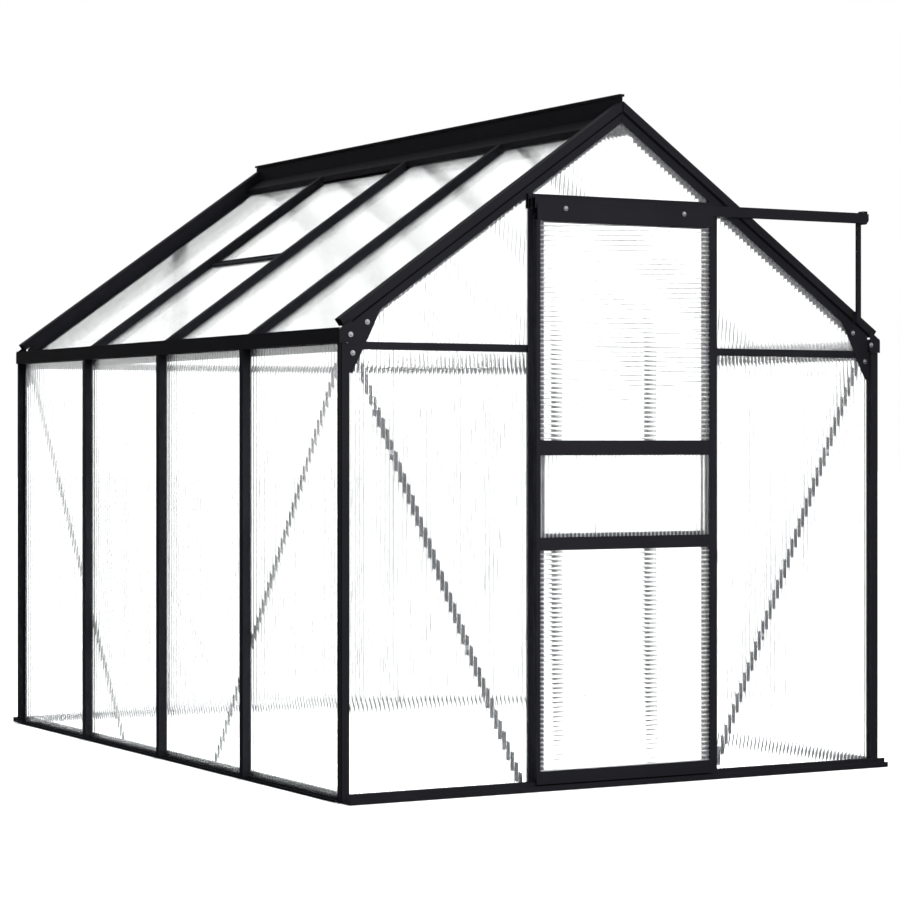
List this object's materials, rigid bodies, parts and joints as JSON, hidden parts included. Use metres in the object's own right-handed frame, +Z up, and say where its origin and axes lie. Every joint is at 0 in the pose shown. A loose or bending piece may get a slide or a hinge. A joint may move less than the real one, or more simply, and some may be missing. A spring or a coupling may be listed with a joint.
{
  "type": "greenhouse",
  "caption": "Free-standing gable-roofed greenhouse of dark extruded bars and fluted clear sheets, with a door that slides on a head track across the front gable and a vent in the roof.",
  "frame": {"origin": "middle of the footprint, on the ground", "axes": "+Z up, +Y along the ridge from the door gable to the back gable, +X to the right as seen from in front of the door"},
  "size_m": [1.866, 2.614, 2.0098],
  "materials": {
    "frame": "satin powder coat",
    "sheet": "clear fluted",
    "steel": "zinc plated",
    "roller": "moulded"
  },
  "bodies": {
    "house": {"front_base_rail": "frame", "back_base_rail": "frame", "left_base_rail": "frame", "right_base_rail": "frame", "front_left_post": "frame", "front_right_post": "frame", "back_left_post": "frame", "back_right_post": "frame", "left_wall_bars": "frame", "right_wall_bars": "frame", "left_gutter": "frame", "right_gutter": "frame", "gutter_end_caps": "frame", "ridge_beam": "frame", "front_left_rafter": "frame", "front_right_rafter": "frame", "back_left_rafter": "frame", "back_right_rafter": "frame", "left_roof_bars": "frame", "right_roof_bars": "frame", "gusset_plates": "frame", "front_gable_rails": "frame", "back_gable_rails": "frame", "door_posts": "frame", "back_gable_posts": "frame", "door_header": "frame", "door_track": "frame", "track_end_cap": "frame", "track_strut": "frame", "wall_braces": "frame", "gable_braces": "frame", "left_wall_sheets": "sheet", "right_wall_sheets": "sheet", "left_roof_sheets": "sheet", "right_roof_sheets": "sheet", "front_gable_sheets": "sheet", "back_gable_sheets": "sheet", "vent_cross_bar": "frame", "vent_rails": "frame", "vent_sheet": "sheet"},
    "door": {"door_left_stile": "frame", "door_right_stile": "frame", "door_top_rail": "frame", "door_middle_rails": "frame", "door_bottom_rail": "frame", "door_sheets": "sheet", "door_hangers": "steel", "door_rollers": "roller"}
  },
  "joints": [
    {"name": "door_slide", "type": "slide", "parent": "house", "child": "door", "axis": [1, 0, 0], "range_m": [0, 0.6]}
  ]
}
